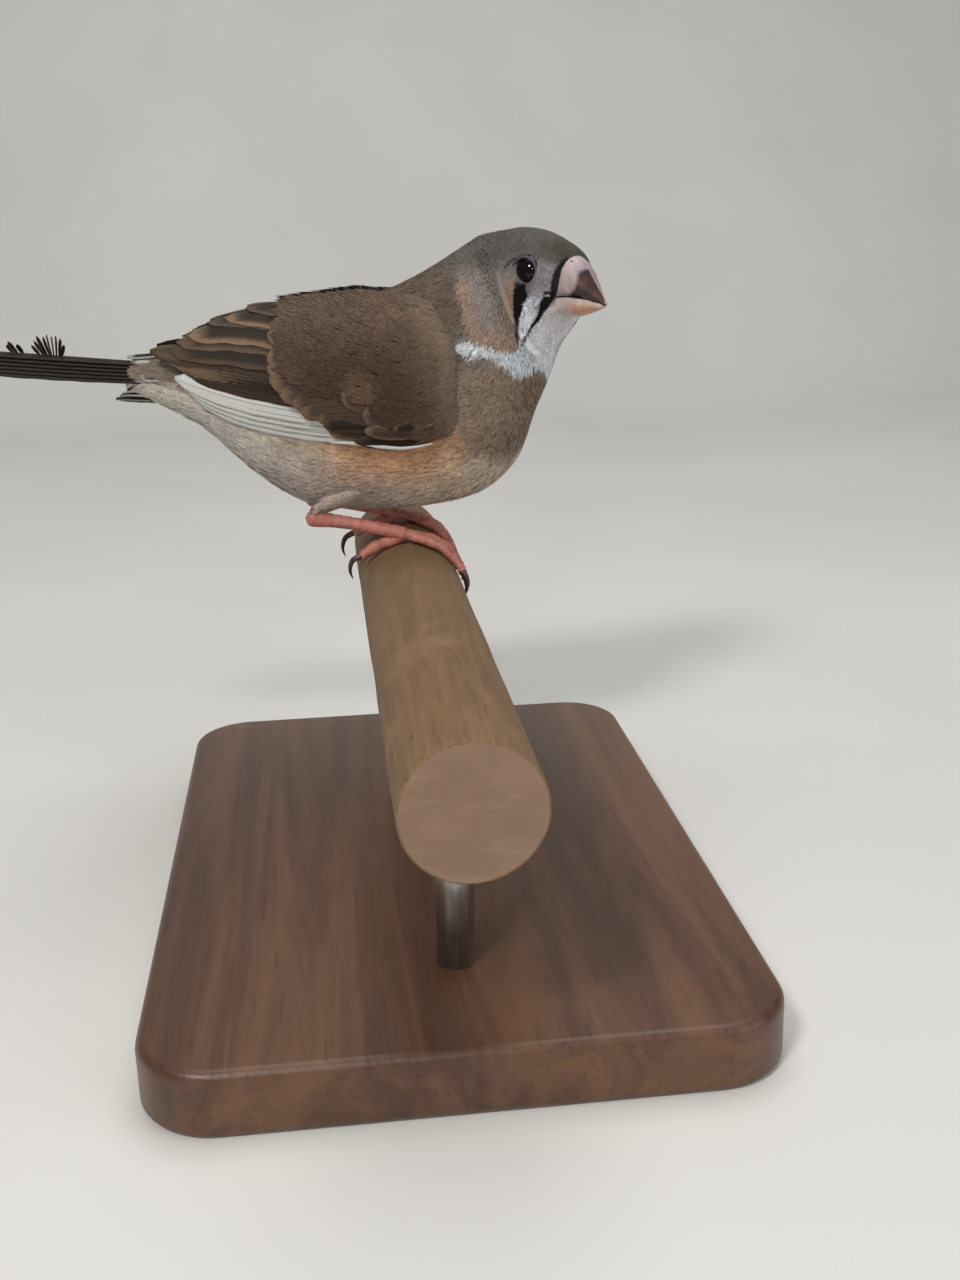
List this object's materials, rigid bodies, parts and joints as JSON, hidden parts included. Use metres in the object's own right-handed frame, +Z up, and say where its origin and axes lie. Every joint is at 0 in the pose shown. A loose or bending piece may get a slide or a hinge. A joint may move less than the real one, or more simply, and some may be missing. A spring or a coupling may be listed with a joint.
{
  "type": "zebra finch model on display stand",
  "caption": "Life-size still model of a young male zebra finch gripping a cut length of round perch, head turned right, held by a small flat display stand",
  "frame": {"origin": "middle of the underside of the stand's base", "axes": "+X the way the bird faces, +Y the bird's left, along the perch, +Z up"},
  "size_m": [0.1021, 0.117, 0.0897],
  "materials": {
    "plumage": "soft body feathers, grey-brown with white, black and orange-buff markings",
    "wing_feathers": "smooth brown feathers with buff edges",
    "tail_feathers": "black-brown tail feathers, barred white on the coverts",
    "bill": "horn, pink to orange with dark remains",
    "eye": "wet and glossy",
    "leg": "fine scales, salmon pink",
    "claw": "dark brown horn",
    "perch": "worn bare wood",
    "stand_wood": "dark satin varnish",
    "stand_metal": "brushed"
  },
  "bodies": {
    "root": {"head": "plumage", "neck": "plumage", "torso": "plumage", "thigh_right": "plumage", "thigh_left": "plumage", "wing_right": "wing_feathers", "wing_left": "wing_feathers", "tail": "tail_feathers", "bill_upper": "bill", "bill_lower": "bill", "eye_right": "eye", "eye_left": "eye", "tarsus_right": "leg", "foot_right": "leg", "claw_right_1": "claw", "claw_right_2": "claw", "claw_right_3": "claw", "claw_right_4": "claw", "tarsus_left": "leg", "foot_left": "leg", "claw_left_1": "claw", "claw_left_2": "claw", "claw_left_3": "claw", "claw_left_4": "claw", "perch": "perch", "stand_base": "stand_wood", "stand_rod_front": "stand_metal", "stand_rod_rear": "stand_metal"}
  },
  "joints": []
}
